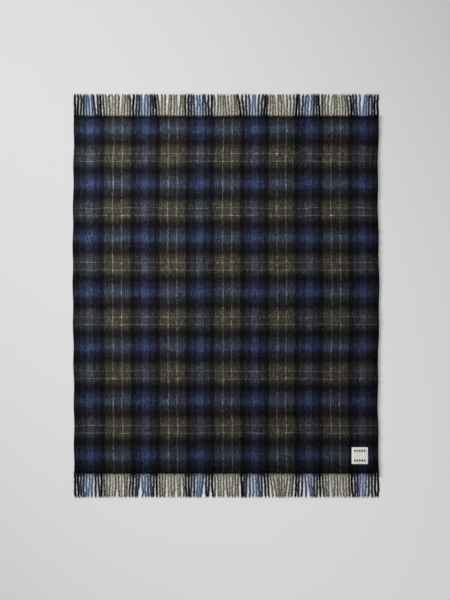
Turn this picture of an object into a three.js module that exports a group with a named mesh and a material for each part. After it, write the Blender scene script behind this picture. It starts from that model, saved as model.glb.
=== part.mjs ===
// A brushed wool throw lying flat: woven cloth, a twisted fringe along each end, and a sewn label.
// Millimetres. +Z is up, +Y runs along the warp, away from the end with the label.
import * as THREE from 'three';

const clothWidth = 1300;        // selvedge to selvedge
const clothLength = 1515;       // woven length, without the fringes
const clothThickness = 3;       // ground weave and raised nap
const pieceGap = 0.3;           // between any two pieces

const selvedgeSteps = 36;       // straight runs along each wavering selvedge
const selvedgeSway = 2.8;       // slow in and out of the selvedges
const selvedgeRipple = 1.2;     // short ripple on top of it

const strandCount = 105;        // twisted strands at each end
const strandWidth = 6.4;
const strandThickness = 6;
const headingDepth = 5;         // where the strands leave the cloth
const topFringeLength = 96;
const bottomFringeLength = 102;
const strandSway = 2.2;         // how far a strand leans to the side
const strandUnevenness = 3;     // how far a strand's end falls short

const labelWidth = 69;
const labelLength = 71;
const labelThickness = 0.8;
const labelFromSelvedge = 45;   // from the label's side to the nominal selvedge
const labelFromEnd = 38;        // from the label's lower side to the end of the weave

// How far a selvedge stands out from its nominal line at a place along the cloth.
// side is -1 for the left selvedge and 1 for the right one.
function selvedgeOffset(side, y) {
  const swayLength = side < 0 ? 1500 : 900;
  const swayCentre = side < 0 ? 130 : 10;
  const rippleLength = side < 0 ? 170 : 210;
  return selvedgeSway * Math.cos((2 * Math.PI * (y - swayCentre)) / swayLength)
    + selvedgeRipple * Math.sin((2 * Math.PI * y) / rippleLength);
}

function selvedgeX(side, y) {
  return side * (clothWidth / 2 + selvedgeOffset(side, y));
}

function flatPlate(outline, thickness) {
  return new THREE.ExtrudeGeometry(outline, { depth: thickness, bevelEnabled: false, steps: 1 });
}

function namedMesh(name, geometry, colour) {
  const material = new THREE.MeshStandardMaterial({ color: colour, roughness: 0.95, metalness: 0 });
  const mesh = new THREE.Mesh(geometry, material);
  mesh.name = name;
  return mesh;
}

// The woven cloth: straight across its ends, with selvedges that waver.
function makeCloth() {
  const points = [];
  for (let step = 0; step <= selvedgeSteps; step++) {
    const y = clothLength * (step / selvedgeSteps - 0.5);
    points.push(new THREE.Vector2(selvedgeX(1, y), y));
  }
  for (let step = selvedgeSteps; step >= 0; step--) {
    const y = clothLength * (step / selvedgeSteps - 0.5);
    points.push(new THREE.Vector2(selvedgeX(-1, y), y));
  }
  return namedMesh('cloth', flatPlate(new THREE.Shape(points), clothThickness), 0x3b3c3a);
}

// A fringe is one comb: a narrow heading beside the cloth, and a tooth for each twisted strand.
// end is 1 for the end at +Y and -1 for the end at -Y.
function makeFringe(name, end, length) {
  const start = clothLength / 2 + pieceGap;
  const left = selvedgeX(-1, end * clothLength / 2);
  const right = selvedgeX(1, end * clothLength / 2);
  const pitch = (right - left) / strandCount;
  const points = [new THREE.Vector2(left, end * start)];
  for (let strand = 0; strand < strandCount; strand++) {
    const middle = left + pitch * (strand + 0.5);
    const lean = strandSway * Math.sin(strand * 1.7 + end);
    const bend = strandSway * Math.sin(strand * 0.9 + 2 * end);
    const shortfall = strandUnevenness * (0.5 + 0.5 * Math.sin(strand * 2.3));
    const root = start + headingDepth;
    const tip = start + length - shortfall;
    const halfway = (root + tip) / 2;
    points.push(
      new THREE.Vector2(middle - strandWidth / 2, end * root),
      new THREE.Vector2(middle - strandWidth / 2 + bend, end * halfway),
      new THREE.Vector2(middle - strandWidth / 2 + lean, end * tip),
      new THREE.Vector2(middle + strandWidth / 2 + lean, end * tip),
      new THREE.Vector2(middle + strandWidth / 2 + bend, end * halfway),
      new THREE.Vector2(middle + strandWidth / 2, end * root),
    );
  }
  points.push(new THREE.Vector2(right, end * start));
  return namedMesh(name, flatPlate(new THREE.Shape(points), strandThickness), 0x2f3135);
}

// The label lies on the cloth, near the right selvedge at the -Y end.
function makeLabel() {
  const right = clothWidth / 2 - labelFromSelvedge;
  const low = labelFromEnd - clothLength / 2;
  const outline = new THREE.Shape([
    new THREE.Vector2(right - labelWidth, low),
    new THREE.Vector2(right, low),
    new THREE.Vector2(right, low + labelLength),
    new THREE.Vector2(right - labelWidth, low + labelLength),
  ]);
  const label = namedMesh('label', flatPlate(outline, labelThickness), 0xe6e5e0);
  label.position.z = clothThickness + pieceGap;
  return label;
}

const plaidThrow = new THREE.Group();
plaidThrow.add(
  makeCloth(),
  makeFringe('fringe_top', 1, topFringeLength),
  makeFringe('fringe_bottom', -1, bottomFringeLength),
  makeLabel(),
);

// The origin is under the middle of the whole throw, on the surface that it lies on.
const extent = new THREE.Box3().setFromObject(plaidThrow);
const middle = extent.getCenter(new THREE.Vector3());
plaidThrow.position.set(-middle.x, -middle.y, -extent.min.z);

export default plaidThrow;
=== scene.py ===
import bpy
import numpy as np
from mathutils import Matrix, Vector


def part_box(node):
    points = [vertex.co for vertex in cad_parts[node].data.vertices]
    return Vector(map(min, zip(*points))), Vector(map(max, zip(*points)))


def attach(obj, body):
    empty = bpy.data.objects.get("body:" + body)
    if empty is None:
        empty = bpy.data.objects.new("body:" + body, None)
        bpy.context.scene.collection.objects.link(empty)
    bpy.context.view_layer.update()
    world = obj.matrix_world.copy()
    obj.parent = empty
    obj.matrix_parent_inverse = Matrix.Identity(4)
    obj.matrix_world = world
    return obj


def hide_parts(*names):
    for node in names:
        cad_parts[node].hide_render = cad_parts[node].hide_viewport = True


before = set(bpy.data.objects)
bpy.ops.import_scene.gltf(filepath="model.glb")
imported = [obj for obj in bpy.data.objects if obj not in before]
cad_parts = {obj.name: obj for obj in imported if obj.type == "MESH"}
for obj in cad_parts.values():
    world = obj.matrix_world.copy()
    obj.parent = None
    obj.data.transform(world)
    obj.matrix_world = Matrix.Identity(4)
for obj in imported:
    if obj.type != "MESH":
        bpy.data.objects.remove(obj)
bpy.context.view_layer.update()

mm = 0.001  # every size below is in millimetres and is turned into metres where a mesh is made


# small helpers


def linearColour(hexColour):
    # sRGB hex to linear: the low part is a straight line, the rest a power of 2.4
    parts = np.array([int(hexColour[i:i + 2], 16) for i in (1, 3, 5)]) / 255
    linear = np.where(parts <= 0.04045, parts / 12.92, ((parts + 0.055) / 1.055) ** 2.4)
    return (*linear.tolist(), 1.0)


def smoothStep(low, high, x):
    # 0 below low, 1 above high, and an S between them
    f = np.clip((x - low) / (high - low), 0, 1)
    return f * f * (3 - 2 * f)


def gridFaces(rows, columns, start=0, closed=False):
    # quads of a rows by columns grid of points, row after row; closed joins the last column to the first
    r = np.arange(rows - 1)[:, None]
    c = np.arange(columns if closed else columns - 1)[None, :]
    across = (c + 1) % columns
    corners = (r * columns + c, r * columns + across, (r + 1) * columns + across, (r + 1) * columns + c)
    return start + np.stack([np.broadcast_to(k, (rows - 1, c.shape[1])) for k in corners], -1).reshape(-1, 4)


def sheetFaces(rows, columns, turned=False):
    # a closed sheet's faces: its upper grid, its lower grid, and a strip round the rim.
    # turned is for a grid whose rows run down the sheet and not up it
    count = rows * columns
    index = np.arange(count).reshape(rows, columns)
    rim = np.concatenate([index[0, :-1], index[:-1, -1], index[-1, :0:-1], index[:0:-1, 0]])
    following = np.roll(rim, -1)
    strip = np.stack([rim, rim + count, following + count, following], -1)
    faceSets = [gridFaces(rows, columns), gridFaces(rows, columns, count)[:, ::-1], strip]
    return [faces[:, ::-1] for faces in faceSets] if turned else faceSets


def sheetPoints(x, y, top, under):
    # a closed sheet's points: its upper grid, and then its lower grid
    return np.vstack([np.stack([x, y, z], -1).reshape(-1, 3) for z in (top, under)])


def buildMesh(name, points, faceSets, uvMaps=None, attributes=None, smooth=True):
    # points are in millimetres, and faceSets are arrays of quads or triangles.
    # for each point, uvMaps hold two numbers, and attributes hold one number or a colour
    mesh = bpy.data.meshes.new(name)
    loops = np.concatenate([f.ravel() for f in faceSets])
    totals = np.concatenate([np.full(len(f), f.shape[1]) for f in faceSets])
    mesh.vertices.add(len(points))
    mesh.vertices.foreach_set("co", (points * mm).astype(np.float32).ravel())
    mesh.loops.add(len(loops))
    mesh.loops.foreach_set("vertex_index", loops.astype(np.int32))
    mesh.polygons.add(len(totals))
    mesh.polygons.foreach_set("loop_start", (np.cumsum(totals) - totals).astype(np.int32))
    mesh.polygons.foreach_set("use_smooth", np.full(len(totals), smooth))
    mesh.update(calc_edges=True)
    for mapName, uv in (uvMaps or {}).items():
        layer = mesh.uv_layers.new(name=mapName, do_init=False)
        layer.uv.foreach_set("vector", uv[loops].astype(np.float32).ravel())
    for attributeName, values in (attributes or {}).items():
        isColour = values.ndim == 2
        layer = mesh.attributes.new(attributeName, "FLOAT_COLOR" if isColour else "FLOAT", "POINT")
        layer.data.foreach_set("color" if isColour else "value", values.astype(np.float32).ravel())
    mesh.validate()
    piece = bpy.data.objects.new(name, mesh)
    bpy.context.scene.collection.objects.link(piece)
    return piece


def addNode(tree, kind, inputs=None, **settings):
    # adds one node: settings are its properties, and inputs are values, or sockets to link.
    # a node given as an input stands for its first output
    node = tree.nodes.new("ShaderNode" + kind)
    for name, value in settings.items():
        setattr(node, name, value)
    for name, value in (inputs or {}).items():
        if isinstance(value, bpy.types.Node):
            value = value.outputs[0]
        if isinstance(value, bpy.types.NodeSocket):
            tree.links.new(value, node.inputs[name])
        else:
            node.inputs[name].default_value = value
    return node


def fillRamp(ramp, stops, interpolation):
    # stops are (place from 0 to 1, hex colour), from low to high
    ramp.color_ramp.interpolation = interpolation
    elements = ramp.color_ramp.elements
    while len(elements) > 1:
        elements.remove(elements[-1])
    elements[0].position, elements[0].color = stops[0][0], linearColour(stops[0][1])
    for place, colour in stops[1:]:
        elements.new(place).color = linearColour(colour)


def newMaterial(name):
    material = bpy.data.materials.new(name)
    material.use_nodes = True
    material.node_tree.nodes.clear()
    return material, material.node_tree


# camera, stage and lights

camera = {
    "lens": 100,             # long lens, so the sides of the throw run parallel
    "coveredLength": 2557,   # how much of the floor the long side of the picture takes in
    "aside": -4, "below": -18,  # from the middle of the throw to the middle of the picture
}
cameraData = bpy.data.cameras.new("camera")
cameraData.lens = camera["lens"]
cameraObject = bpy.data.objects.new("camera", cameraData)
height = camera["coveredLength"] * camera["lens"] / cameraData.sensor_width
cameraObject.location = (camera["aside"] * mm, camera["below"] * mm, height * mm)
bpy.context.scene.collection.objects.link(cameraObject)
bpy.context.scene.camera = cameraObject
bpy.context.scene.view_settings.view_transform = "Standard"

clothPieces = bpy.data.collections.new("clothPieces")
stagePieces = bpy.data.collections.new("stagePieces")

stage = {
    "floorSize": 24000, "floorDrop": 0.4, "floorColour": "#dfdfdf",
    # the painted light and shade on the floor: its slopes, and how far it may stray from 1
    "paintedLightSlopes": (0.035, -0.052, -0.065, -0.07, -0.03),  # a to e of the floor's tone, see makeStage
    "paintedLightLimit": 0.35,                  # the tone stays this close to 1
    "surround": "#dddddd", "surroundLight": 0.4,
}
softboxes = {
    "keySoftbox": {"place": (-950, 800, 1700), "aim": (-100, 50, 0), "size": 700, "power": 46.5},
    "floorSoftbox": {"place": (-1200, 1500, 5200), "aim": (0, 0, 0), "size": 3000, "power": 84},
    # this one draws the long shadow of the cloth's edge, and shines through the open fringes
    "lowFloorSoftbox": {"place": (-12500, 4230, 2790), "aim": (0, 0, 0), "size": 2500, "power": 3885},
}


def makeStage():
    # a plain square floor just under the cloth, whose colour carries painted light and shade, and a pale
    # surround that fills the shadows
    half = stage["floorSize"] / 2
    corners = np.array([[-half, -half], [half, -half], [half, half], [-half, half]])
    points = np.column_stack([corners, np.full(4, -stage["floorDrop"])])
    floor = buildMesh("floor", points, [np.array([[0, 1, 2, 3]])], smooth=False)
    material, tree = newMaterial("floorWithPaintedLight")  # matt emulsion: no gloss, so it reads as one even tone
    # painted light and shade: the floor's colour is multiplied by a tone that changes slowly, standing in for
    # how the light falls across it: 1 + a x + b y + c x y + d x x + e y y, with x and y in metres from the
    # middle
    place = addNode(tree, "TexCoord").outputs["Object"]
    sideways, up, crossed, squareX, squareY = stage["paintedLightSlopes"]
    square = addNode(tree, "VectorMath", {0: place, 1: place}, operation="MULTIPLY")
    parts = addNode(tree, "SeparateXYZ", {0: place})
    product = addNode(tree, "Math", {0: parts.outputs[0], 1: parts.outputs[1]}, operation="MULTIPLY")
    straight = addNode(tree, "VectorMath", {0: place, 1: (sideways, up, 0)}, operation="DOT_PRODUCT")
    curved = addNode(tree, "VectorMath", {0: square, 1: (squareX, squareY, 0)}, operation="DOT_PRODUCT")
    tone = addNode(tree, "Math", {0: product, 1: crossed, 2: straight.outputs["Value"]},
                   operation="MULTIPLY_ADD")
    tone = addNode(tree, "Math", {0: tone, 1: curved.outputs["Value"]}, operation="ADD")
    limit = stage["paintedLightLimit"]
    tone = addNode(tree, "MapRange", {0: tone, 1: -limit, 2: limit, 3: 1 - limit, 4: 1 + limit})
    colour = addNode(tree, "Mix", {0: 1.0, 6: linearColour(stage["floorColour"]), 7: tone},
                     data_type="RGBA", blend_type="MULTIPLY")
    shader = addNode(tree, "BsdfPrincipled", {"Base Color": colour.outputs[2], "Roughness": 0.9,
                                              "Specular IOR Level": 0.1})
    addNode(tree, "OutputMaterial", {"Surface": shader})
    floor.data.materials.append(material)
    stagePieces.objects.link(floor)
    world = bpy.data.worlds.new("surround")
    world.use_nodes = True
    background = world.node_tree.nodes["Background"]
    background.inputs["Color"].default_value = linearColour(stage["surround"])
    background.inputs["Strength"].default_value = stage["surroundLight"]
    bpy.context.scene.world = world


def addSoftbox(name, receivers, blockers=None):
    # a square area light that faces the point it aims at and lights only the receivers.
    # with blockers given, only they cast its shadows
    softbox = softboxes[name]
    data = bpy.data.lights.new(name, "AREA")
    data.shape = "SQUARE"
    data.size = softbox["size"] * mm
    data.energy = softbox["power"]
    lamp = bpy.data.objects.new(name, data)
    lamp.location = [v * mm for v in softbox["place"]]
    towards = Vector(softbox["aim"]) - Vector(softbox["place"])
    lamp.rotation_euler = towards.to_track_quat("-Z", "Y").to_euler()
    bpy.context.scene.collection.objects.link(lamp)
    lamp.light_linking.receiver_collection = receivers
    lamp.light_linking.blocker_collection = blockers
    lamp.visible_camera = False


makeStage()
addSoftbox("keySoftbox", clothPieces)
addSoftbox("floorSoftbox", stagePieces)
addSoftbox("lowFloorSoftbox", stagePieces, clothPieces)
print("camera, floor and lights ready")


# the woven cloth

cloth = {
    "width": 1300, "thickness": 3.0,
    "columns": 132, "rows": 152,        # cells of about 10 mm, for the slow unevenness
    "stripeBow": 6.5,                   # the stripes lean this far to the right in the middle of the width
    "pickWaver": 1.6, "pickRipple": 1.7,  # how far the weft wavers along the warp, slowly and quickly
    "unevenness": 0.45, "edgeRoll": 0.9,  # rise and fall of the surface, and how far its rim thins
    "rimWidth": 3,
    "napRoom": 0.5,                     # the ground weave lies this far under the frame's upper face
    "underGap": 0.15, "underRoll": 0.5,  # the under face clears the floor, and rises at the rim
    # the selvedges waver as in the frame: how far, the steps of the frame's outline, and for each side
    # the length of the slow sway, where its crest is, and the length of the short ripple
    "selvedgeSway": 2.8, "selvedgeRipple": 1.2, "selvedgeSteps": 36,
    "leftWaves": (1500, 130, 170), "rightWaves": (900, 10, 210),
}
clothLow, clothHigh = (np.array(corner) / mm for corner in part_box("cloth"))
clothLength = clothHigh[1] - clothLow[1]


def selvedgeOffset(side, y):
    # a slow cosine with a short sine on top, the same as in the frame's outline
    swayLength, swayCentre, rippleLength = cloth["leftWaves" if side < 0 else "rightWaves"]
    sway = cloth["selvedgeSway"] * np.cos(2 * np.pi * (y - swayCentre) / swayLength)
    return sway + cloth["selvedgeRipple"] * np.sin(2 * np.pi * y / rippleLength)


def waves(seed, across, along, count, shortest, longest):
    # a sum of sine waves of random direction, length and phase, from about -1 to 1
    pick = np.random.default_rng(seed)
    total = np.zeros(np.broadcast(across, along).shape)
    for _ in range(count):
        length = pick.uniform(shortest, longest)
        turn, phase = pick.uniform(0, 2 * np.pi, 2)
        total += np.sin(2 * np.pi * (across * np.cos(turn) + along * np.sin(turn)) / length + phase)
    return total / np.sqrt(count) * 0.7


middleY = (clothLow[1] + clothHigh[1]) / 2
edgeSpan = np.linspace(-clothLength / 2, clothLength / 2, cloth["selvedgeSteps"] + 1)
leftReach = cloth["width"] / 2 + selvedgeOffset(-1, edgeSpan).max()
middleX = clothLow[0] + leftReach  # the nominal middle of the weave in the frame


def clothPlan(across, down):
    # across is measured from the middle of the flat cloth and down from its top end.
    # x runs between the two selvedges, bowed to the right in the middle; y wavers a little along the warp.
    y = clothLength / 2 - down
    share = across / cloth["width"] + 0.5
    left = -cloth["width"] / 2 - selvedgeOffset(-1, y)
    right = cloth["width"] / 2 + selvedgeOffset(1, y)
    inside = 1 - (2 * share - 1) ** 2
    x = left + (right - left) * share + cloth["stripeBow"] * inside
    fade = np.clip(1 - (2 * down / clothLength - 1) ** 8, 0, 1)
    waver = cloth["pickWaver"] * waves(3, across, down, 7, 260, 700)
    waver = fade * (waver + cloth["pickRipple"] * waves(4, across, down * 0.5, 9, 60, 160))
    return middleX + x, middleY + y + waver


def clothTop(across, down):
    # the height of the ground weave's upper face: slow waves that die away at the rim, where the cloth thins
    toSide = cloth["width"] / 2 - np.abs(across)
    toEnd = clothLength / 2 - np.abs(down - clothLength / 2)
    rim = 1 - np.exp(-np.minimum(toSide, toEnd) / cloth["rimWidth"])
    slow = waves(5, across, down, 9, 90, 320)
    level = cloth["thickness"] - cloth["napRoom"]
    return level + cloth["unevenness"] * slow * rim - cloth["edgeRoll"] * (1 - rim)


def makeCloth():
    # two grids of points, the upper face and the under face, whose rows run down the cloth
    columns, rows = cloth["columns"] + 1, cloth["rows"] + 1
    across = np.linspace(-cloth["width"] / 2, cloth["width"] / 2, columns)[None, :]
    down = np.linspace(0, clothLength, rows)[:, None]
    across, down = np.broadcast_arrays(across, down)
    x, y = clothPlan(across, down)
    top = clothTop(across, down)
    toRim = np.minimum(cloth["width"] / 2 - np.abs(across), clothLength / 2 - np.abs(down - clothLength / 2))
    under = cloth["underGap"] + cloth["underRoll"] * np.exp(-toRim / cloth["rimWidth"])
    flat = np.column_stack([across.ravel(), down.ravel()])
    flat = np.vstack([flat, flat])
    bake = np.column_stack([flat[:, 0] / cloth["width"] + 0.5, 1 - flat[:, 1] / clothLength]) * 0.996 + 0.002
    return buildMesh("plaidCloth", sheetPoints(x, y, top, under), sheetFaces(rows, columns, turned=True),
                     {"flatCloth": flat * mm, "OFBake": bake})


plaidCloth = makeCloth()
print("cloth", len(plaidCloth.data.polygons), "faces")

# the sett, in threads from the middle of a blue band to the middle of an olive block
sett = {
    "thread": 1.4,
    "warp": [("blue", 11), ("dusk", 4), ("softBlue", 3), ("dusk", 3), ("softBlue", 3), ("dusk", 2),
             ("softBlue", 3), ("black", 15), ("olive", 24), ("line", 3), ("olive", 12)],
    "warpColours": {"blue": "#3a4660", "softBlue": "#242836", "dusk": "#191d26", "black": "#0f0e10",
                    "olive": "#3b3b32", "line": "#b1ada4"},
    "selvedge": 14,                     # the outermost warp ends are black
    # the weft, from the middle of an olive block downwards: where each colour starts and ends
    "weftRepeat": 231.6, "firstOlive": 172.6,
    "weft": [(-115.8, "blue"), (-110, "blue"), (-98, "navy"), (-80, "navy"), (-72, "black"), (-60, "black"),
             (-50.5, "brownBlack"), (-37, "olive"), (21, "olive"), (25, "shadedOlive"), (38, "darkOlive"),
             (46, "black"), (65, "black"), (76, "navyBlue"), (95, "dimBlue"), (100, "blue"), (115.8, "blue")],
    "weftColours": {"blue": "#39466f", "navy": "#17171f", "black": "#09070a", "brownBlack": "#1d1917",
                    "olive": "#413c34", "shadedOlive": "#2e2b26", "darkOlive": "#1e1c19",
                    "navyBlue": "#1c1d2c", "dimBlue": "#212841"},
    "blackHem": 24, "hemBlend": 4,      # the last picks at the lower end are black
    "weftLine": 16.1, "weftLineShift": -1.2, "weftLineColour": "#bab5ab", "weftLineWidth": 3.0,
}
halfRepeat = sett["thread"] * sum(count for _, count in sett["warp"])


def warpColour(tree, across):
    # the colour of the warp thread at a place across the cloth, in metres from its middle
    folded = addNode(tree, "Math", {0: across, 1: halfRepeat * mm}, operation="PINGPONG")
    share = addNode(tree, "Math", {0: folded, 1: halfRepeat * mm}, operation="DIVIDE")
    turned = addNode(tree, "Math", {0: 1.0, 1: share}, operation="SUBTRACT")
    ramp = addNode(tree, "ValToRGB", {"Fac": turned})
    starts = np.cumsum([0] + [count for _, count in sett["warp"]][:-1]) * sett["thread"] / halfRepeat
    stops = [(place, sett["warpColours"][name]) for place, (name, _) in zip(starts, sett["warp"])]
    fillRamp(ramp, stops, "CONSTANT")
    outward = addNode(tree, "Math", {0: across}, operation="ABSOLUTE")
    edge = addNode(tree, "Math", {0: outward, 1: (cloth["width"] / 2 - sett["selvedge"]) * mm},
                   operation="GREATER_THAN")
    return addNode(tree, "Mix", {0: edge, 6: ramp.outputs["Color"],
                                 7: linearColour(sett["warpColours"]["black"])}, data_type="RGBA").outputs[2]


def weftColour(tree, down, crispDown):
    # the colour of the weft at a place down the cloth; its fine light lines stay crisp
    def phase(place):
        moved = addNode(tree, "Math", {0: place, 1: (sett["firstOlive"] - sett["weftRepeat"] / 2) * mm},
                        operation="SUBTRACT")
        repeats = addNode(tree, "Math", {0: moved, 1: sett["weftRepeat"] * mm}, operation="DIVIDE")
        return addNode(tree, "Math", {0: repeats}, operation="FRACT").outputs[0]
    ramp = addNode(tree, "ValToRGB", {"Fac": phase(down)})
    stops = [(place / sett["weftRepeat"] + 0.5, sett["weftColours"][name]) for place, name in sett["weft"]]
    fillRamp(ramp, stops, "LINEAR")
    hemStart = clothLength - sett["blackHem"]
    hem = addNode(tree, "MapRange", {0: down, 1: (hemStart - sett["hemBlend"]) * mm,
                                     2: (hemStart + sett["hemBlend"]) * mm})
    ground = addNode(tree, "Mix", {0: hem, 6: ramp.outputs["Color"],
                                   7: linearColour(sett["weftColours"]["black"])}, data_type="RGBA")
    lineMiddle = 0.5 + sett["weftLineShift"] / sett["weftRepeat"]
    fromMiddle = addNode(tree, "Math", {0: phase(crispDown), 1: lineMiddle}, operation="SUBTRACT")
    fromMiddle = addNode(tree, "Math", {0: fromMiddle}, operation="ABSOLUTE")
    line = addNode(tree, "Math", {0: fromMiddle, 1: sett["weftLine"] / sett["weftRepeat"],
                                  2: sett["weftLineWidth"] / 2 / sett["weftRepeat"]}, operation="COMPARE")
    return addNode(tree, "Mix", {0: line, 6: ground.outputs[2],
                                 7: linearColour(sett["weftLineColour"])}, data_type="RGBA").outputs[2]


brushed = {
    # the size of a streak across and along the warp: for locks of raised nap, for the pull of the weft's
    # colour, for fine fibres, for single warp ends and for single picks of the weft
    "locks": (4.5, 24), "pulls": (3.5, 60), "fine": (2.0, 14), "ends": (3.2, 420), "picks": (90, 3.6),
    "fineWeight": 0.45, "yarnWeight": 0.5,  # beside locks of weight 1
    "pull": 8, "spread": 3.4,               # how far the nap draws a colour along the warp and across it
    "toneSpan": (0.83, 1.62),               # the mixed streaks that are darkest and lightest
    "toneRange": 1.1,                       # how much lighter and darker the locks are
    "threadShow": 0.06,                     # how far single floats keep their own colour
    "bumpHeight": 0.7, "ridgeShare": 0.35,  # relief of the streaks, and of the threads beside it
}


def streakNoise(tree, place, streak, detail):
    # noise drawn out along the warp: streak is the width and length of one streak
    width, length = brushed[streak]
    scaled = addNode(tree, "Mapping", {"Vector": place, "Scale": (1000 / width, 1000 / length, 1)})
    return addNode(tree, "TexNoise", {"Vector": scaled, "Scale": 1.0, "Detail": detail,
                                      "Roughness": 0.6}, noise_dimensions="2D").outputs["Fac"]


def weaveColour(tree, place, floats):
    # warp and weft colours crossed as milled wool mixes them: the square root of their product.
    # floats is 1 where the warp lies on top and 0 where the weft does.
    def drawn(axis, streak, detail, low, reach):
        # the place along one axis, moved as far as reach by streaky noise between low and 1 - low
        noise = streakNoise(tree, place, streak, detail)
        shift = addNode(tree, "MapRange", {0: noise, 1: low, 2: 1 - low, 3: -reach * mm, 4: reach * mm})
        return addNode(tree, "Math", {0: axis, 1: shift}, operation="ADD").outputs[0]
    parts = addNode(tree, "SeparateXYZ", {0: place})
    across, down = parts.outputs[0], parts.outputs[1]
    warp = warpColour(tree, drawn(across, "fine", 2.0, 0.2, brushed["spread"]))
    weft = weftColour(tree, drawn(down, "pulls", 3.0, 0.25, brushed["pull"]), down)
    crossed = addNode(tree, "Mix", {0: 1.0, 6: warp, 7: weft}, data_type="RGBA", blend_type="MULTIPLY")
    crossed = addNode(tree, "Gamma", {0: crossed.outputs[2], 1: 0.5})
    onTop = addNode(tree, "Mix", {0: floats, 6: weft, 7: warp}, data_type="RGBA")
    return addNode(tree, "Mix", {0: brushed["threadShow"], 6: crossed, 7: onTop.outputs[2]},
                   data_type="RGBA").outputs[2]


def brushedWool():
    # brushed wool tartan, milled and raised: matt, streaked along the warp, its twill half hidden by the nap
    material, tree = newMaterial("brushedWoolTartan")
    place = addNode(tree, "UVMap", uv_map="flatCloth").outputs[0]
    threads = addNode(tree, "VectorMath", {0: place, 1: (1 / (sett["thread"] * mm),) * 3},
                      operation="MULTIPLY")
    whole = addNode(tree, "VectorMath", {0: threads}, operation="FLOOR")
    cell = addNode(tree, "VectorMath", {0: threads}, operation="FRACTION")
    counts = addNode(tree, "SeparateXYZ", {0: whole})
    diagonal = addNode(tree, "Math", {0: counts.outputs[0], 1: counts.outputs[1]}, operation="ADD")
    # a 2/2 twill repeats each four threads, and the warp lies over two of them: steps 0 and 1/4
    diagonal = addNode(tree, "Math", {0: diagonal, 1: 0.25}, operation="MULTIPLY")
    diagonal = addNode(tree, "Math", {0: diagonal}, operation="FRACT")
    floats = addNode(tree, "Math", {0: diagonal, 1: 0.4}, operation="LESS_THAN")
    colour = weaveColour(tree, place, floats.outputs[0])
    streaks = streakNoise(tree, place, "locks", 4.0)
    fine = streakNoise(tree, place, "fine", 2.0)
    mixed = addNode(tree, "Math", {0: fine, 1: brushed["fineWeight"], 2: streaks}, operation="MULTIPLY_ADD")
    ends = streakNoise(tree, place, "ends", 1.0)
    picks = streakNoise(tree, place, "picks", 1.0)
    yarns = addNode(tree, "Math", {0: ends, 1: picks}, operation="ADD")
    mixed = addNode(tree, "Math", {0: yarns, 1: brushed["yarnWeight"], 2: mixed},
                    operation="MULTIPLY_ADD")
    darkest, lightest = brushed["toneSpan"]
    tone = addNode(tree, "MapRange", {0: mixed, 1: darkest, 2: lightest,
                                      3: 1 - brushed["toneRange"], 4: 1 + brushed["toneRange"]})
    shaded = addNode(tree, "Mix", {0: 1.0, 6: colour, 7: tone}, data_type="RGBA",
                     blend_type="MULTIPLY")
    inCell = addNode(tree, "SeparateXYZ", {0: cell})
    ridge = addNode(tree, "Mix", {0: floats, 2: inCell.outputs[1], 3: inCell.outputs[0]})
    ridge = addNode(tree, "Math", {0: ridge, 1: np.pi}, operation="MULTIPLY")
    ridge = addNode(tree, "Math", {0: ridge}, operation="SINE")
    surface = addNode(tree, "Math", {0: ridge, 1: brushed["ridgeShare"], 2: mixed},
                      operation="MULTIPLY_ADD")
    bump = addNode(tree, "Bump", {"Height": surface, "Strength": 0.6,
                                  "Distance": brushed["bumpHeight"] * mm})
    shader = addNode(tree, "BsdfPrincipled", {
        "Base Color": shaded.outputs[2], "Normal": bump, "Roughness": 0.95,
        "Specular IOR Level": 0.06})
    addNode(tree, "OutputMaterial", {"Surface": shader})
    return material


plaidCloth.data.materials.append(brushedWool())
print("cloth material ready")


# the raised nap, as single fibres lying along the warp

nap = {
    "pieces": 3, "fibresPerPiece": 33000,
    "shortest": 9, "longest": 24,      # length of a raised fibre or lock
    "width": 0.47,                     # a lock of a few fibres, as coarse as it needs to show
    "turn": 0.22,                      # how far fibres stray from the warp's direction, in radians
    "rise": 1.4, "rootDepth": 0.15,    # height of the arch over the ground, and how deep its root is
    "bow": 0.05,                       # how far a fibre bows sideways, as a share of its length
    "towardsTop": 0.72,                # share of the nap that is brushed towards the top end
    "atEnds": 0.06, "endDepth": 5,     # share of the fibres that grow close to the two ends, and how close
    "overhang": 14,                    # how far those reach past the weave at the most
    "sideDepth": 5,                    # along the sides fibres lean outward, and are shorter and thinner
    "labelClear": 1.5,                 # fibres keep this far from the label
    "toneSpread": 0.15, "toneMiddle": 1.05,
    "bakeSpread": 0.0012,              # how far apart a fibre's four corners lie in the baked picture
}
labelLow, labelHigh = (np.array(corner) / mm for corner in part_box("label"))


def slivers(start, bend, end, width):
    # closed four-sided slivers: a point at each end, and two corners beside each other where the fibre bends
    along = end - start
    side = np.cross(along, [0.0, 0.0, 1.0])
    side /= np.maximum(np.linalg.norm(side, axis=1, keepdims=True), 1e-6)
    points = np.stack([start, bend - width[:, None] / 2 * side, bend + width[:, None] / 2 * side, end], 1)
    corner = np.array([[0, 2, 1], [3, 1, 2], [0, 1, 3], [0, 3, 2]])
    arched = np.sum((bend - start) * np.cross(side, along), 1) > 0  # bowed up or down from the straight line
    corner = np.where(arched[:, None, None], corner, corner[:, ::-1])
    faces = (np.arange(len(start)) * 4)[:, None, None] + corner
    return points.reshape(-1, 3), faces.reshape(-1, 3)


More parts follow.
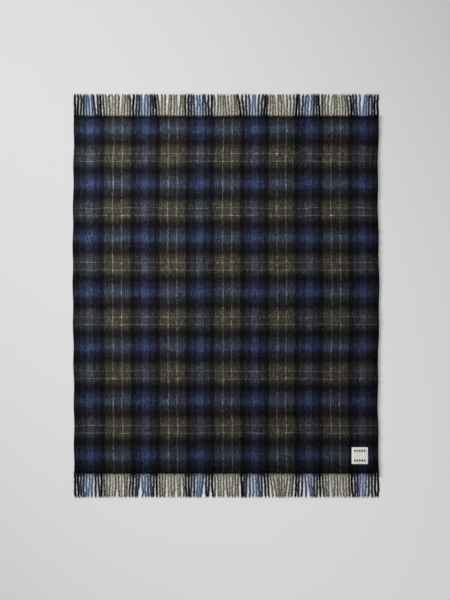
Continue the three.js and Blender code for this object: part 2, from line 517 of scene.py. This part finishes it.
def makeNap(index):
    # roots spread evenly over the cloth; each fibre leans along the warp and arches a little over the ground
    pick = np.random.default_rng(100 + index)
    count = nap["fibresPerPiece"]
    across = pick.uniform(-0.4985, 0.4985, count) * cloth["width"]
    down = pick.uniform(0.001, 0.999, count) * clothLength
    atTop, atBottom = pick.random((2, count)) < nap["atEnds"] / 2  # more stand out at the two woven ends
    fromEnd = pick.exponential(nap["endDepth"], count)
    down = np.where(atTop, fromEnd, np.where(atBottom, clothLength - fromEnd, down))
    length = pick.uniform(nap["shortest"], nap["longest"], count)
    nearSide = np.exp(-(cloth["width"] / 2 - np.abs(across)) / nap["sideDepth"])
    turn = nap["turn"] * pick.normal(size=count)
    turn += 0.5 * nearSide * np.sign(across) * pick.uniform(0, 1, count)
    length = length * (1 - 0.7 * nearSide)
    direction = np.where(pick.random(count) < nap["towardsTop"], 1.0, -1.0)
    direction = np.where(atTop, 1.0, np.where(atBottom, -1.0, direction))
    stepAcross = np.sin(turn) * length
    stepDown = -direction * np.cos(turn) * length
    endDown = np.clip(down + stepDown, -nap["overhang"], clothLength + nap["overhang"])
    x0, y0 = clothPlan(across, down)
    x1, y1 = clothPlan(across + stepAcross, endDown)
    ground = clothTop(across, down)
    rise = nap["rise"] * pick.uniform(0.35, 1, count)
    start = np.stack([x0, y0, ground - nap["rootDepth"]], -1)
    end = np.stack([x1, y1, ground + rise * pick.uniform(-0.1, 1.3, count)], -1)
    bow = pick.normal(size=count) * nap["bow"] * length
    bend = (start * 0.45 + end * 0.55) + np.stack([bow, np.zeros(count), rise * 0.6], -1)
    corners = np.stack([start, bend, end])[:, :, :2]
    overLabel = ((corners.min(0) < labelHigh[:2] + nap["labelClear"])
                 & (corners.max(0) > labelLow[:2] - nap["labelClear"])).all(1)
    keep = ~overLabel
    width = nap["width"] * pick.uniform(0.6, 1.3, count) * (1 - 0.5 * nearSide)
    width = width * np.where(atTop | atBottom, 0.6, 1)
    points, faces = slivers(start[keep], bend[keep], end[keep], width[keep])
    root = np.repeat(np.column_stack([across, down])[keep], 4, 0)
    tone = np.repeat(pick.normal(size=count)[keep], 4)
    spread = np.tile([[0, -1.2], [-1.2, 0.6], [1.2, 0.6], [0, 1.4]], (keep.sum(), 1)) * nap["bakeSpread"]
    bake = np.column_stack([root[:, 0] / cloth["width"] + 0.5, 1 - root[:, 1] / clothLength]) + spread
    return buildMesh(f"raisedNap{index}", points, [faces],
                     {"flatCloth": root * mm, "OFBake": np.clip(bake, 0, 1)}, {"fibreTone": tone})


def napWool():
    # raised wool fibres: each has the colour of the cloth at its root, some lighter and some darker
    material, tree = newMaterial("raisedWoolNap")
    place = addNode(tree, "UVMap", uv_map="flatCloth").outputs[0]
    which = addNode(tree, "TexWhiteNoise", {"Vector": place}, noise_dimensions="2D")
    floats = addNode(tree, "Math", {0: which.outputs["Value"], 1: 0.5}, operation="LESS_THAN")
    colour = weaveColour(tree, place, floats.outputs[0])
    tone = addNode(tree, "Attribute", attribute_name="fibreTone")
    tone = addNode(tree, "Math", {0: tone.outputs["Fac"], 1: nap["toneSpread"], 2: nap["toneMiddle"]},
                   operation="MULTIPLY_ADD")
    shaded = addNode(tree, "Mix", {0: 1.0, 6: colour, 7: tone}, data_type="RGBA",
                     blend_type="MULTIPLY")
    shader = addNode(tree, "BsdfPrincipled", {
        "Base Color": shaded.outputs[2], "Roughness": 0.75, "Specular IOR Level": 0.1})
    addNode(tree, "OutputMaterial", {"Surface": shader})
    return material


napMaterial = napWool()
napPieces = [makeNap(index) for index in range(nap["pieces"])]
for piece in napPieces:
    piece.data.materials.append(napMaterial)
print("nap", sum(len(piece.data.polygons) for piece in napPieces), "faces")


# the twisted fringes

fringe = {
    "strands": 105, "radius": 4.7, "flatness": 0.6, "turnLength": 11,  # two soft plies twisted together
    "radiusRange": (0.9, 1.06), "lump": 0.07, "lumpLength": 3.1,
    "steps": 64, "sectionPoints": 8,
    "middleHeight": 3.3, "rootMiddle": 1.4,  # of a strand's middle over the ground, and at its root
    "edgeInset": 4.6,  # from the selvedge to the middle of the first strand
    "rootOverlap": 2,  # the strands start this far inside the weave
    "rootSpread": 6.2, "rootHeight": 1.2, "gather": 28,  # flat at the root, and round after this length
    "tipTaper": 0.55, "tipFrom": 0.95,  # how far the tip thins, and from what share of the length
    "sway": 2.4, "kink": 1.2, "kinkLength": (24, 42),
    "lean": 6.5, "clump": 4, "leanTogether": 0.85, "leanOwn": 0.4,  # close neighbours lean much alike
    "calmStrands": 5,  # the outermost strands hang straighter
    "unevenness": 2.5, "over": 0.8,  # how far a strand falls short of the frame, or passes it
    "closest": 7.6, "pushes": 60,  # neighbours push each other this far apart, in small steps
    "plyOffset": 3.1, "plyWidth": 6.2,  # where the threads of the two plies come from
    "plyMixing": 0.3,  # how far the two plies share their colours
    "blackFrom": 621,  # threads further from the middle than this are black
    # painted shade on the strands: flankShade darkens their sides against the crown, and rootShade darkens
    # their roots, partly painted shade where they meet the weave and partly the weave's dark weft reaching in
    "flankShade": 0.7,  # the sides are darker than the crown
    "rootShade": 0.2, "rootLength": 38,  # the strands are darker where they leave the weave
    "hairsPerStrand": 330, "hairLength": 14, "hairWidth": 0.21, "hairReach": 2.4,
    "hairSides": 0.35,  # the less this is, the more hairs bow into the gaps
    "hairLift": 0.7, "leastLift": 0.12,  # how far hairs rise: even a sideways one isn't flat
    "atTips": 0.08,  # share of the hairs that fray a strand's tip
    "clearSteps": 11,  # this near the root no hair lies back over the weave
    # painted light: loose fibres are coloured lighter than the strands, standing in for the light that passes
    # through them
    "colours": {"blue": "#3d4a5e", "softBlue": "#282c37", "dusk": "#1d1f27",
                "black": "#0b0a0c", "olive": "#424035", "line": "#9c998e"},
    "hairColoursWithPaintedLight": {"blue": "#7d8ca5", "softBlue": "#424856", "dusk": "#2c2d36",
                    "black": "#0e0d0f", "olive": "#8b897a", "line": "#b3b1aa"},
}


def plyColours(across, palette):
    # the mean colour of the threads that one ply gathers, from the sett of the warp
    threads = np.repeat([linearColour(fringe[palette][name]) for name, _ in sett["warp"]],
                        [count for _, count in sett["warp"]], axis=0)
    places = across[..., None] + np.linspace(-0.5, 0.5, 9) * fringe["plyWidth"]
    folded = halfRepeat - np.abs((places + halfRepeat) % (2 * halfRepeat) - halfRepeat)
    index = np.clip((folded / sett["thread"]).astype(int), 0, len(threads) - 1)
    colours = threads[index]
    colours[np.abs(places) > fringe["blackFrom"]] = linearColour(fringe[palette]["black"])
    return colours.mean(-2)


def strandPaths(end, box):
    # where each strand's middle runs: root and tip, with slow sideways sway that grows from the root
    pick = np.random.default_rng(40 + end)
    count = fringe["strands"]
    left = -cloth["width"] / 2 - selvedgeOffset(-1, end * clothLength / 2)
    right = cloth["width"] / 2 + selvedgeOffset(1, end * clothLength / 2)
    number = np.arange(count)
    rootX = middleX + np.linspace(left + fringe["edgeInset"], right - fringe["edgeInset"], count)
    across = ((number + 0.5) / count - 0.5) * cloth["width"]
    rootY, tipY = (box[0][1], box[1][1]) if end > 0 else (box[1][1], box[0][1])
    reach = abs(tipY - rootY) + fringe["over"] - fringe["unevenness"] * pick.beta(1.2, 2.2, count)
    clumps = np.arange(0, count + 9, fringe["clump"])
    together = fringe["leanTogether"] * np.interp(number, clumps, pick.normal(size=len(clumps)))
    calm = np.clip(np.minimum(number, count - 1 - number) / fringe["calmStrands"], 0.2, 1)
    lean = fringe["lean"] * calm * (together + fringe["leanOwn"] * pick.normal(size=count))
    share = np.linspace(0, 1, fringe["steps"] + 1)[None, :]
    sway = fringe["sway"] * share ** 0.8 * np.sin(
        2 * np.pi * (pick.uniform(0.5, 1.25, (count, 1)) * share + pick.uniform(0, 1, (count, 1))))
    sway -= sway[:, :1]
    kinks = reach[:, None] * share / pick.uniform(*fringe["kinkLength"], (count, 1))
    kinks = kinks + pick.uniform(0, 1, (count, 1))
    sway += fringe["kink"] * np.sqrt(share) * np.sin(2 * np.pi * kinks)
    x = rootX[:, None] + lean[:, None] * share ** 1.4 + sway * pick.uniform(0.5, 1, (count, 1))
    for _ in range(fringe["pushes"]):  # neighbours that lean together push each other apart
        short = np.maximum(0, fringe["closest"] - np.diff(x, axis=0)) / 2
        x[:-1] -= short
        x[1:] += short
    y = rootY + end * (share * (reach[:, None] + fringe["rootOverlap"]) - fringe["rootOverlap"])
    return across, x, y, reach


def makeFringe(name, end, box):
    # a two-lobed section carried along each path; it turns once each turnLength, and is flat at the root
    across, x, y, reach = strandPaths(end, box)
    count, steps, around = fringe["strands"], fringe["steps"] + 1, fringe["sectionPoints"]
    pick = np.random.default_rng(60 + end)
    share = np.linspace(0, 1, steps)[None, :, None]
    run = share * reach[:, None, None]
    gathered = smoothStep(0, fringe["gather"], run)
    angle = np.arange(around)[None, None, :] * 2 * np.pi / around
    twist = 2 * np.pi * np.maximum(run - 4, 0) / fringe["turnLength"]  # begins 4 mm out from the weave
    twist = twist * pick.uniform(0.85, 1.15, (count, 1, 1))
    lobes = 0.8 + 0.2 * np.cos(angle) ** 2
    uneven = 1 + fringe["lump"] * np.sin(run / fringe["lumpLength"] + pick.uniform(0, 6.28, (count, 1, 1)))
    tipTaper = 1 - fringe["tipTaper"] * smoothStep(fringe["tipFrom"], 1.0, share)
    radius = fringe["radius"] * lobes * uneven * tipTaper
    radius = radius * pick.uniform(*fringe["radiusRange"], (count, 1, 1))
    aside = radius * np.cos(angle + twist)
    lift = radius * np.sin(angle + twist) * fringe["flatness"]
    wide = fringe["rootSpread"] / fringe["radius"]
    flat = fringe["rootHeight"] / fringe["radius"]
    aside = aside * (wide + (1 - wide) * gathered)
    lift = lift * (flat + (1 - flat) * gathered)
    middleZ = fringe["rootMiddle"] + (fringe["middleHeight"] - fringe["rootMiddle"]) * gathered
    yAround = np.broadcast_to(y[:, :, None], aside.shape)
    points = np.stack([x[:, :, None] + aside, yAround, middleZ + lift], -1)
    ends = np.stack([points[:, 0].mean(1), points[:, -1].mean(1)], 1)
    perStrand = steps * around
    starts = np.arange(count)[:, None] * perStrand
    sideFaces = (starts[:, :, None] + gridFaces(steps, around, closed=True)).reshape(-1, 4)
    firstRing = starts + np.arange(around)
    lastRing = firstRing + (steps - 1) * around
    hub = np.broadcast_to(count * perStrand + 2 * np.arange(count)[:, None], firstRing.shape)
    capStart = np.stack([firstRing, np.roll(firstRing, -1, 1), hub], -1)
    capEnd = np.stack([np.roll(lastRing, -1, 1), lastRing, hub + 1], -1)
    caps = np.concatenate([capStart.reshape(-1, 3), capEnd.reshape(-1, 3)])
    if end > 0:
        sideFaces, caps = sideFaces[:, ::-1], caps[:, ::-1]
    side = np.where(np.cos(angle) > 0, 1.0, -1.0) * fringe["plyOffset"]
    plyPlace = np.broadcast_to(across[:, None, None] + side, aside.shape)
    # painted shade: the colours darken towards the root, where the weave's dark weft also reaches in, and on
    # the flanks away from the crown
    shade = fringe["rootShade"] + (1 - fringe["rootShade"]) * smoothStep(0, fringe["rootLength"], run)
    crown = smoothStep(-0.2, 0.95, np.sin(angle + twist))
    shade = (shade * (fringe["flankShade"] + (1 - fringe["flankShade"]) * crown)).ravel()
    colours = plyColours(np.concatenate([plyPlace.ravel(), np.repeat(across, 2)]), "colours")
    shared = plyColours(across, "colours")
    shared = np.concatenate([np.repeat(shared, steps * around, 0), np.repeat(shared, 2, 0)])
    colours += fringe["plyMixing"] * (shared - colours)
    colours[:, :3] *= np.concatenate([shade, np.ones(2 * count)])[:, None]
    uv = np.stack([plyPlace + aside, np.broadcast_to(run, aside.shape)], -1).reshape(-1, 2)
    endUv = np.stack([across, np.zeros(count)], -1)[:, None].repeat(2, 1).reshape(-1, 2)
    # where each ply's crest is: the material paints shade into the groove between the plies from it
    crest = np.broadcast_to(np.cos(angle) ** 2, aside.shape).reshape(-1)
    allPoints = np.vstack([points.reshape(-1, 3), ends.reshape(-1, 3)])
    piece = buildMesh(name, allPoints, [sideFaces, caps], {"flatCloth": np.vstack([uv, endUv]) * mm},
                      {"plyCrest": np.concatenate([crest, np.full(2 * count, 0.5)]), "plyColour": colours})
    return piece, across, x, y


def makeHairs(name, end, across, x, y):
    # loose fibres that stand out from the strands, mostly along them
    pick = np.random.default_rng(80 + end)
    total = fringe["strands"] * fringe["hairsPerStrand"]
    strand = np.repeat(np.arange(fringe["strands"]), fringe["hairsPerStrand"])
    atTip = pick.random(total) < fringe["atTips"]
    step = np.where(atTip, fringe["steps"] - 1, pick.integers(2, fringe["steps"] - 5, total))
    turn = np.pi * pick.beta(fringe["hairSides"], fringe["hairSides"], total)
    length = fringe["hairLength"] * pick.uniform(0.5, 1.1, total) * np.where(atTip, 0.45, 1)
    middle = np.stack([x[strand, step], y[strand, step], np.full(total, fringe["middleHeight"])], -1)
    lift = np.maximum(np.sin(turn) * fringe["hairLift"], fringe["leastLift"])
    outward = np.stack([np.cos(turn), np.zeros(total), lift], -1)
    along = np.zeros((total, 3))
    back = pick.choice([1, 1, 1, -1], total)
    along[:, 1] = end * np.where(atTip | (step < fringe["clearSteps"]), 1, back)
    reach = fringe["hairReach"] * pick.uniform(0.1, 1, (total, 1))
    start = middle + outward * fringe["radius"] * np.where(atTip, 0.4, 0.7)[:, None]
    finish = start + length[:, None] * along + outward * reach * pick.uniform(0.2, 1.1, (total, 1))
    bend = start + (finish - start) * pick.uniform(0.35, 0.65, (total, 1)) + outward * reach * 0.5
    width = fringe["hairWidth"] * pick.uniform(0.6, 1.3, total)
    points, faces = slivers(start, bend, finish, width)
    plyPlace = across[strand] + pick.choice([-1, 1], total) * fringe["plyOffset"]
    # painted light: the loose fibres take the lighter colours
    colours = plyColours(np.repeat(plyPlace, 4), "hairColoursWithPaintedLight")
    return buildMesh(name, points, [faces], {"flatCloth": np.repeat(middle[:, :2], 4, 0) * mm},
                     {"plyCrest": np.full(len(points), 1.0), "plyColour": colours})


def twistedWool():
    # two-ply twisted wool in the warp's own colours: soft, matt, with painted shade in the groove between the
    # plies
    material, tree = newMaterial("twistedWoolFringe")
    place = addNode(tree, "UVMap", uv_map="flatCloth").outputs[0]
    # the ply colours already carry the painted shade of the strands and the painted light of the loose fibres
    colour = addNode(tree, "Attribute", attribute_name="plyColour").outputs["Color"]
    wisps = addNode(tree, "Mapping", {"Vector": place, "Scale": (900, 350, 1)})
    noise = addNode(tree, "TexNoise", {"Vector": wisps, "Scale": 1.0, "Detail": 3.0})
    # painted shade: the colour darkens from each ply's crest into the groove; the noise adds random lighter
    # and darker wisps
    crest = addNode(tree, "Attribute", attribute_name="plyCrest")
    shade = addNode(tree, "Math", {0: crest.outputs["Fac"], 1: 0.5, 2: 0.35}, operation="MULTIPLY_ADD")
    shade = addNode(tree, "Math", {0: noise.outputs["Fac"], 1: 0.9, 2: shade},
                    operation="MULTIPLY_ADD")
    shaded = addNode(tree, "Mix", {0: 1.0, 6: colour, 7: shade}, data_type="RGBA",
                     blend_type="MULTIPLY")
    bump = addNode(tree, "Bump", {"Height": noise.outputs["Fac"], "Strength": 0.5, "Distance": 0.4 * mm})
    shader = addNode(tree, "BsdfPrincipled", {
        "Base Color": shaded.outputs[2], "Normal": bump, "Roughness": 0.9,
        "Specular IOR Level": 0.03})
    addNode(tree, "OutputMaterial", {"Surface": shader})
    return material


fringeMaterial = twistedWool()
fringePieces, hairPieces = [], []
for node, end in (("fringe_top", 1), ("fringe_bottom", -1)):
    title = "Top" if end > 0 else "Bottom"
    box = [np.array(corner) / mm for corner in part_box(node)]
    strands, across, x, y = makeFringe("twistedFringe" + title, end, box)
    hairs = makeHairs("fringeHairs" + title, end, across, x, y)
    for piece in (strands, hairs):
        piece.data.materials.append(fringeMaterial)
    fringePieces.append(strands)
    hairPieces.append(hairs)
print("fringes", sum(len(piece.data.polygons) for piece in fringePieces + hairPieces), "faces")


# the sewn label

label = {
    "cells": 46, "thickness": 0.75, "cornerRadius": 0.7,
    "pillow": 0.35,             # how far it puffs up inside the turned edges, less towards its middle
    "diamond": (10.4, 15), "rowFromMiddle": 20.5, "rowHalfLength": 26,  # two rows of five woven diamonds
    "satin": "#dcdbd7", "marks": "#38383b", "ribSpacing": 0.8,
    "stitchLength": 2.6, "stitchGap": 1.8, "stitchInset": 1.6, "stitchWidth": 0.5,
    "stitchSteps": 7, "stitchPoints": 6,
    "thread": ("#d9d6ce", "#f2f0ea"),  # its darker and lighter fibres
}


def makeLabel():
    # a closed square sheet: its corners are drawn in a little, and its upper face sinks at the rim, puffs
    # up some way inside it and has a faint ripple
    size = labelHigh - labelLow
    middle = (labelHigh + labelLow) / 2
    count = label["cells"] + 1
    edge = np.sin(np.linspace(-np.pi / 2, np.pi / 2, count))  # closer rows towards the rim
    u, v = np.meshgrid(edge, edge)
    cut = label["cornerRadius"] / (size[0] / 2)
    inward = 1 - cut * 0.3 * (u * v) ** 8
    x = middle[0] + u * size[0] / 2 * inward
    y = middle[1] + v * size[1] / 2 * inward
    toRim = (1 - np.maximum(abs(u), abs(v))) * size[0] / 2
    turned = smoothStep(0, 1.2, toRim) * 0.25
    ease = label["pillow"] * (smoothStep(1, 9, toRim) - 0.6 * smoothStep(9, 30, toRim))
    ripple = 0.08 * np.sin(x / 6.0) * np.sin(y / 7.5)
    top = labelLow[2] + label["thickness"] - 0.25 + turned + ease * 0.6 + ripple
    under = np.full_like(top, labelLow[2])
    flat = np.column_stack([(x - middle[0]).ravel(), (y - middle[1]).ravel()])
    bake = flat / size[:2] * 0.98 + 0.5
    return buildMesh("sewnLabel", sheetPoints(x, y, top, under), sheetFaces(count, count),
                     {"flatLabel": np.vstack([flat, flat]) * mm, "OFBake": np.vstack([bake, bake])})


def makeStitches():
    # short rounded stitches along the four sides: a small ring carried along an arch, closed at both ends
    size = labelHigh - labelLow
    middle = (labelHigh + labelLow) / 2
    step = label["stitchLength"] + label["stitchGap"]
    centres = []
    for side in range(4):
        long, wide = (size[0], size[1]) if side % 2 == 0 else (size[1], size[0])
        count = int((long - 4) / step)
        along = (np.arange(count) - (count - 1) / 2) * step
        away = np.full(count, wide / 2 - label["stitchInset"])
        turn = side * np.pi / 2
        centres.append(np.stack([along * np.cos(turn) - away * np.sin(turn),
                                 along * np.sin(turn) + away * np.cos(turn), np.full(count, turn)], -1))
    centres = np.concatenate(centres)
    steps, around = label["stitchSteps"], label["stitchPoints"]
    share = np.linspace(-1, 1, steps)
    thick = np.sqrt(np.maximum(1 - share ** 6, 0.03))[:, None] * label["stitchWidth"] / 2
    angle = np.arange(around) * 2 * np.pi / around
    alongLocal = np.broadcast_to((share * label["stitchLength"] / 2)[:, None], (steps, around))
    aside = thick * np.cos(angle)
    up = thick * np.sin(angle) + 0.18 * (1 - share ** 2)[:, None]
    cos, sin = np.cos(centres[:, 2])[:, None, None], np.sin(centres[:, 2])[:, None, None]
    x = middle[0] + centres[:, 0, None, None] + alongLocal * cos - aside * sin
    y = middle[1] + centres[:, 1, None, None] + alongLocal * sin + aside * cos
    z = labelLow[2] + label["thickness"] + 0.12 + np.broadcast_to(up, x.shape)
    points = np.stack([x, y, z], -1).reshape(-1, 3)
    starts = (np.arange(len(centres)) * steps * around)[:, None, None]
    sides = (starts + gridFaces(steps, around, closed=True)[None]).reshape(-1, 4)
    first = np.arange(around)[None, :] + starts[:, 0]
    last = first + (steps - 1) * around
    return buildMesh("labelStitches", points, [sides, first[:, ::-1].copy(), last.copy()])


def wovenSatin():
    # pale polyester satin, woven narrow and fine: a low lustre, with two rows of small dark grey diamonds
    material, tree = newMaterial("wovenLabelSatin")
    place = addNode(tree, "UVMap", uv_map="flatLabel").outputs[0]
    parts = addNode(tree, "SeparateXYZ", {0: place})
    # across the row a diamond repeats; up and down it is measured from the row's middle line
    wide, high = label["diamond"]
    inRow, fromRow = parts.outputs[0], parts.outputs[1]
    for operation, value in (("ADD", wide / 2), ("FLOORED_MODULO", wide), ("SUBTRACT", wide / 2),
                             ("ABSOLUTE", 0)):
        inRow = addNode(tree, "Math", {0: inRow, 1: value * mm}, operation=operation).outputs[0]
    for operation, value in (("ABSOLUTE", 0), ("SUBTRACT", label["rowFromMiddle"]), ("ABSOLUTE", 0)):
        fromRow = addNode(tree, "Math", {0: fromRow, 1: value * mm}, operation=operation).outputs[0]
    reach = addNode(tree, "Math", {0: fromRow, 1: wide / high, 2: inRow},
                    operation="MULTIPLY_ADD")
    marks = addNode(tree, "Math", {0: reach, 1: wide * 0.46 * mm}, operation="LESS_THAN")
    sideways = addNode(tree, "Math", {0: parts.outputs[0]}, operation="ABSOLUTE")
    inside = addNode(tree, "Math", {0: sideways, 1: label["rowHalfLength"] * mm},
                     operation="LESS_THAN")
    marks = addNode(tree, "Math", {0: marks, 1: inside}, operation="MULTIPLY")
    colour = addNode(tree, "Mix", {0: marks, 6: linearColour(label["satin"]),
                                   7: linearColour(label["marks"])}, data_type="RGBA")
    ribScale = 1000 / label["ribSpacing"] / 6.283
    ribs = addNode(tree, "TexWave", {"Vector": place, "Scale": ribScale, "Distortion": 0.4},
                   bands_direction="Y")
    bump = addNode(tree, "Bump", {"Height": ribs.outputs["Fac"], "Strength": 0.3, "Distance": 0.1 * mm})
    shader = addNode(tree, "BsdfPrincipled", {
        "Base Color": colour.outputs[2], "Normal": bump, "Roughness": 0.55, "Sheen Weight": 0.1})
    addNode(tree, "OutputMaterial", {"Surface": shader})
    return material


def sewingThread():
    # pale spun polyester thread: a little glossier than the label it holds
    material, tree = newMaterial("paleSewingThread")
    place = addNode(tree, "TexCoord")
    noise = addNode(tree, "TexNoise", {"Vector": place.outputs["Object"], "Scale": 1500.0, "Detail": 1.0})
    darker, lighter = (linearColour(colour) for colour in label["thread"])
    colour = addNode(tree, "Mix", {0: noise, 6: darker, 7: lighter}, data_type="RGBA")
    shader = addNode(tree, "BsdfPrincipled", {"Base Color": colour.outputs[2], "Roughness": 0.5})
    addNode(tree, "OutputMaterial", {"Surface": shader})
    return material


sewnLabel = makeLabel()
sewnLabel.data.materials.append(wovenSatin())
labelStitches = makeStitches()
labelStitches.data.materials.append(sewingThread())
print("label", len(sewnLabel.data.polygons) + len(labelStitches.data.polygons), "faces")


# what each piece rides on and stands for

allPieces = [plaidCloth, *napPieces, *fringePieces, *hairPieces, sewnLabel, labelStitches]
for piece in allPieces:
    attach(piece, "root")
    lit = clothPieces if piece in (plaidCloth, *napPieces) else stagePieces  # which lamps reach it
    lit.objects.link(piece)
for piece in (plaidCloth, *napPieces):
    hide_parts("cloth")
for node, strands, hairs in zip(("fringe_top", "fringe_bottom"), fringePieces, hairPieces):
    for piece in (strands, hairs):
        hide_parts(node)
for piece in (sewnLabel, labelStitches):
    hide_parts("label")
